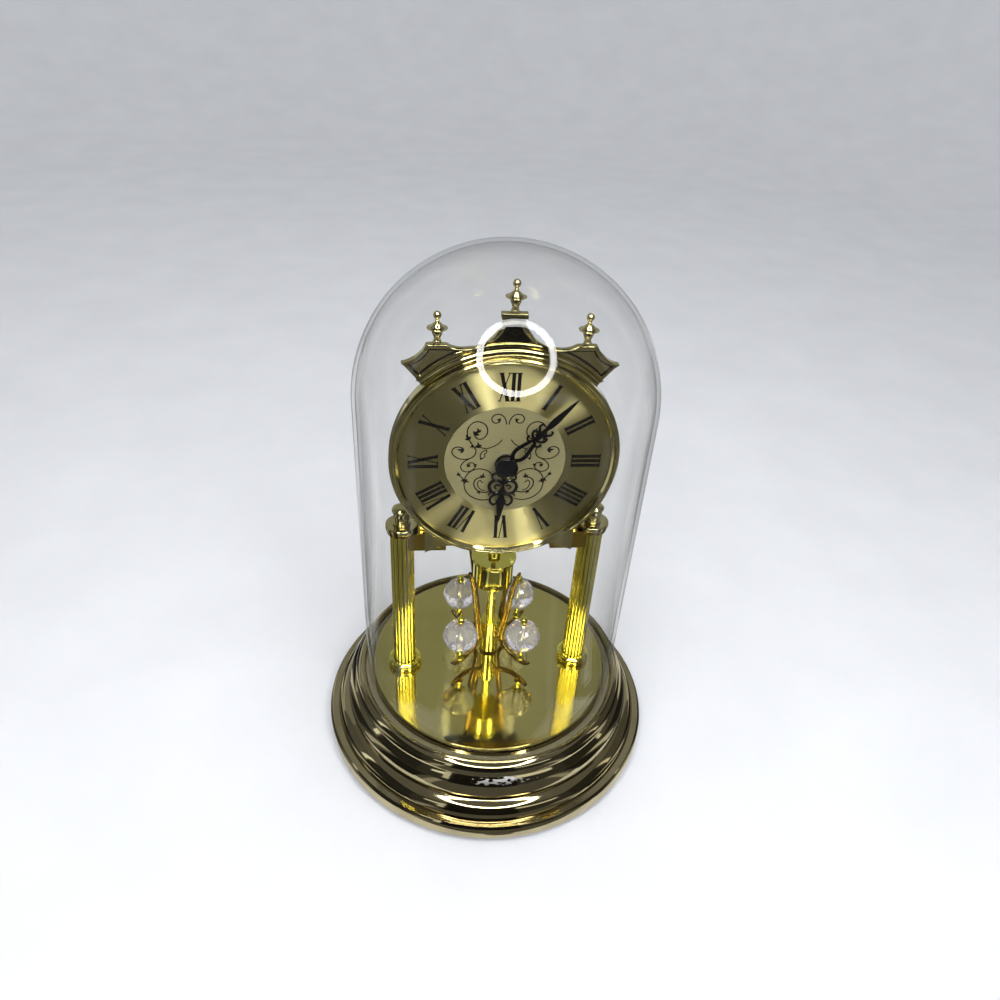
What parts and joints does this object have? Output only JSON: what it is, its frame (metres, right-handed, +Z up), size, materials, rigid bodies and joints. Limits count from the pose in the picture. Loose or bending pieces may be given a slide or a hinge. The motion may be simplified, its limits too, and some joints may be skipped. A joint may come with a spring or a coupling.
{
  "type": "dome pendulum clock",
  "caption": "Quartz clock on reeded brass columns with a round dial, a pediment and a twisting crystal pendulum, under a glass dome on a round stepped brass base.",
  "frame": {"origin": "centre of the base on the surface it stands on", "axes": "+Z up, the dial faces -Y, +X to the right of someone who looks at the dial"},
  "size_m": [0.1502, 0.1502, 0.2245],
  "materials": {
    "base_brass": "polished, worn at the foot",
    "gold": "polished gold",
    "pale_brass": "polished champagne",
    "plate_brass": "satin",
    "dial": "brushed champagne",
    "black": "satin black",
    "glass": "clear",
    "crystal": "clear, cut in facets",
    "rubber": "matt",
    "felt": "felt",
    "movement": "fine grain",
    "steel": "plain",
    "nylon": "moulded",
    "copper": "enamelled wire",
    "board": "lacquered",
    "battery": "plain wrapped"
  },
  "bodies": {
    "stand": {"base_shell": "base_brass", "base_plate": "plate_brass", "dome_gasket": "rubber", "bottom_cover": "movement", "felt_pad": "felt", "column_left": "gold", "column_right": "gold", "column_foot_left": "gold", "column_foot_right": "gold", "capital_left": "gold", "capital_right": "gold", "cap_nut_left": "gold", "cap_nut_right": "gold", "tie_rod_left": "steel", "tie_rod_right": "steel", "rod_nut_left": "steel", "rod_nut_right": "steel", "bridge_bar": "pale_brass", "movement_bracket": "pale_brass", "dial_case": "pale_brass", "bezel": "pale_brass", "dial_plate": "dial", "pediment": "pale_brass", "finial_left": "gold", "finial_top": "gold", "finial_right": "gold", "movement_housing": "movement", "movement_cover": "movement", "circuit_board": "board", "stepper_coil": "copper", "drive_case": "movement", "drive_coil": "copper"},
    "dome": {"glass_dome": "glass"},
    "minute_work": {"minute_arbor": "steel", "minute_hand": "black", "hand_cap": "black"},
    "hour_work": {"hour_wheel": "nylon", "hour_hand": "black"},
    "setting_work": {"setting_wheel": "nylon", "setting_knob": "movement"},
    "cell": {"battery": "battery"},
    "pendulum": {"pendulum_spindle": "steel", "pendulum_disc": "gold", "pendulum_drum": "gold", "pendulum_rod": "gold", "pendulum_tube": "gold", "pendulum_arm_1": "gold", "pendulum_arm_2": "gold", "pendulum_arm_3": "gold", "pendulum_arm_4": "gold", "crystal_1": "crystal", "crystal_2": "crystal", "crystal_3": "crystal", "crystal_4": "crystal", "crystal_pin_1": "gold", "crystal_pin_2": "gold", "crystal_pin_3": "gold", "crystal_pin_4": "gold"}
  },
  "joints": [
    {"name": "dome_lift", "type": "slide", "parent": "stand", "child": "dome", "axis": [0, 0, 1], "range_m": [0, 0.195]},
    {"name": "minute_turn", "type": "hinge", "parent": "stand", "child": "minute_work", "pos_m": [0, 0, 0.1468], "axis": [0, 1, 0], "continuous": true},
    {"name": "hour_turn", "type": "hinge", "parent": "stand", "child": "hour_work", "pos_m": [0, 0, 0.1468], "axis": [0, 1, 0], "continuous": true},
    {"name": "setting_turn", "type": "hinge", "parent": "stand", "child": "setting_work", "pos_m": [0, 0, 0.1588], "axis": [0, 1, 0], "continuous": true},
    {"name": "pendulum_twist", "type": "hinge", "parent": "stand", "child": "pendulum", "pos_m": [0, 0.0042, 0.09], "axis": [0, 0, 1], "range_deg": [-180, 180]},
    {"name": "battery_slide", "type": "slide", "parent": "stand", "child": "cell", "axis": [0, 1, 0], "range_m": [0, 0.02]}
  ],
  "couplings": [
    {"joint": "hour_turn", "follows": "minute_turn", "ratio": 0.083333},
    {"joint": "setting_turn", "follows": "minute_turn", "ratio": -0.33333}
  ]
}
